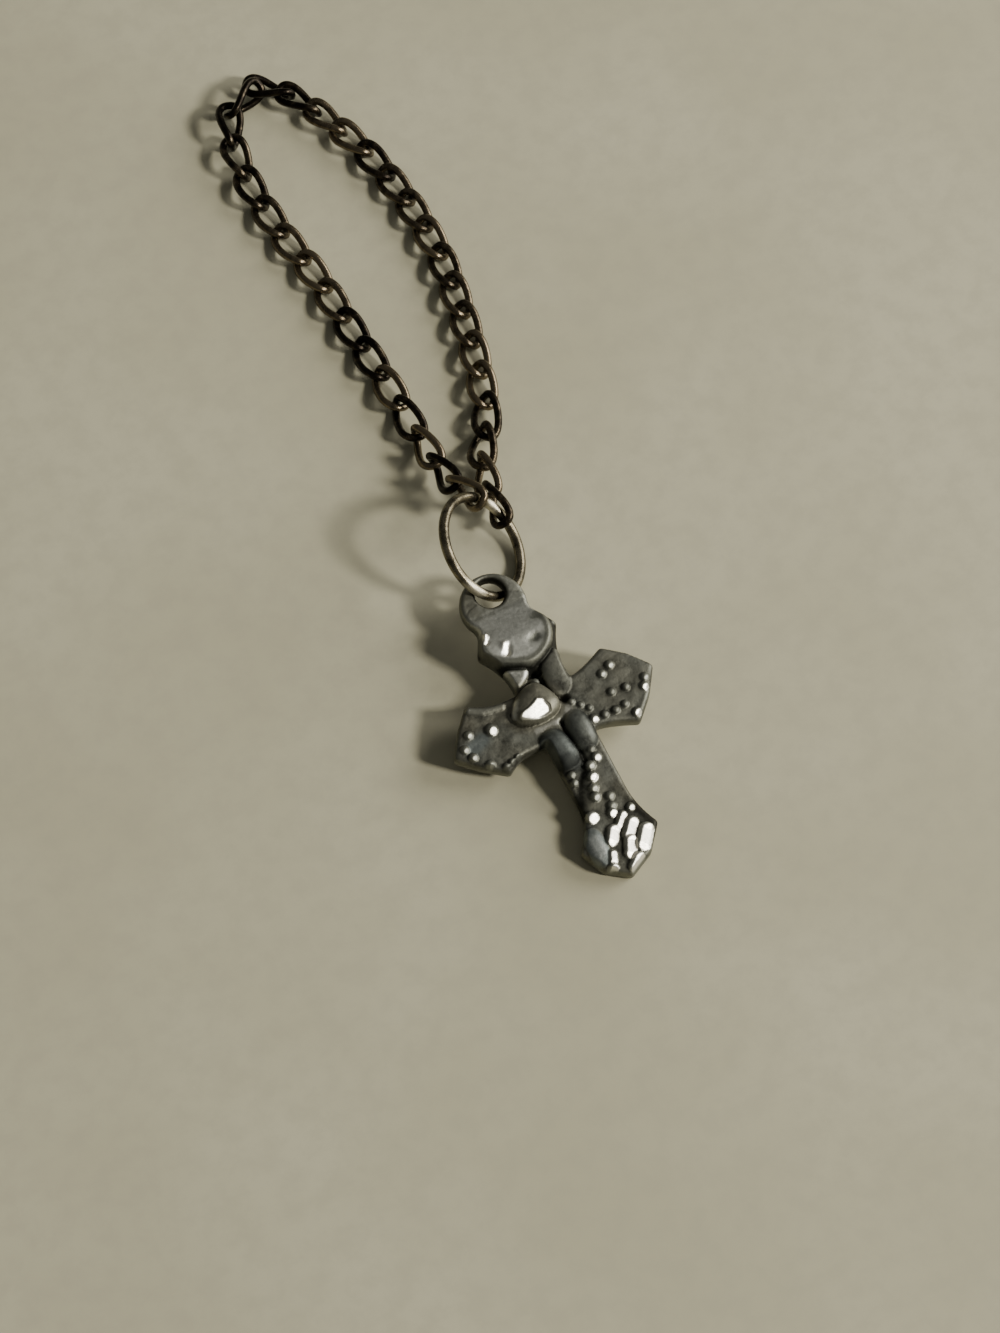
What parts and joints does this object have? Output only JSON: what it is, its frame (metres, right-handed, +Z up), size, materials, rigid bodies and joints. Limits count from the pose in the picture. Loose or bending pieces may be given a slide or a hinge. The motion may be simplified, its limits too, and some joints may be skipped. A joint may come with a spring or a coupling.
{
  "type": "cross charm",
  "caption": "Small cast metal cross with an eye, hung on a round jump ring whose closed loop of curb chain hangs it from a strap, cord or key ring.",
  "frame": {"origin": "middle of the charm's outline as it lies, on the floor under it", "axes": "+Y from the foot of the cross to the far bend of the chain, +Z up from the floor, +X to the right of the cross seen from above"},
  "size_m": [0.0163, 0.061, 0.0051],
  "materials": {
    "cast_silver": "antiqued silver-grey casting, dark in the recesses and polished on the high spots",
    "ring_brass": "aged brass wire, worn bright on its top",
    "chain_brass": "dark antique brass wire with worn brighter crowns"
  },
  "bodies": {
    "root": {"cross": "cast_silver", "jump_ring": "ring_brass", "link_01": "chain_brass", "link_02": "chain_brass", "link_03": "chain_brass", "link_04": "chain_brass", "link_05": "chain_brass", "link_06": "chain_brass", "link_07": "chain_brass", "link_08": "chain_brass", "link_09": "chain_brass", "link_10": "chain_brass", "link_11": "chain_brass", "link_12": "chain_brass", "link_13": "chain_brass", "link_14": "chain_brass", "link_15": "chain_brass", "link_16": "chain_brass", "link_17": "chain_brass", "link_18": "chain_brass", "link_19": "chain_brass", "link_20": "chain_brass", "link_21": "chain_brass", "link_22": "chain_brass", "link_23": "chain_brass", "link_24": "chain_brass", "link_25": "chain_brass", "link_26": "chain_brass", "link_27": "chain_brass", "link_28": "chain_brass", "link_29": "chain_brass", "link_30": "chain_brass", "link_31": "chain_brass", "link_32": "chain_brass"}
  },
  "joints": []
}
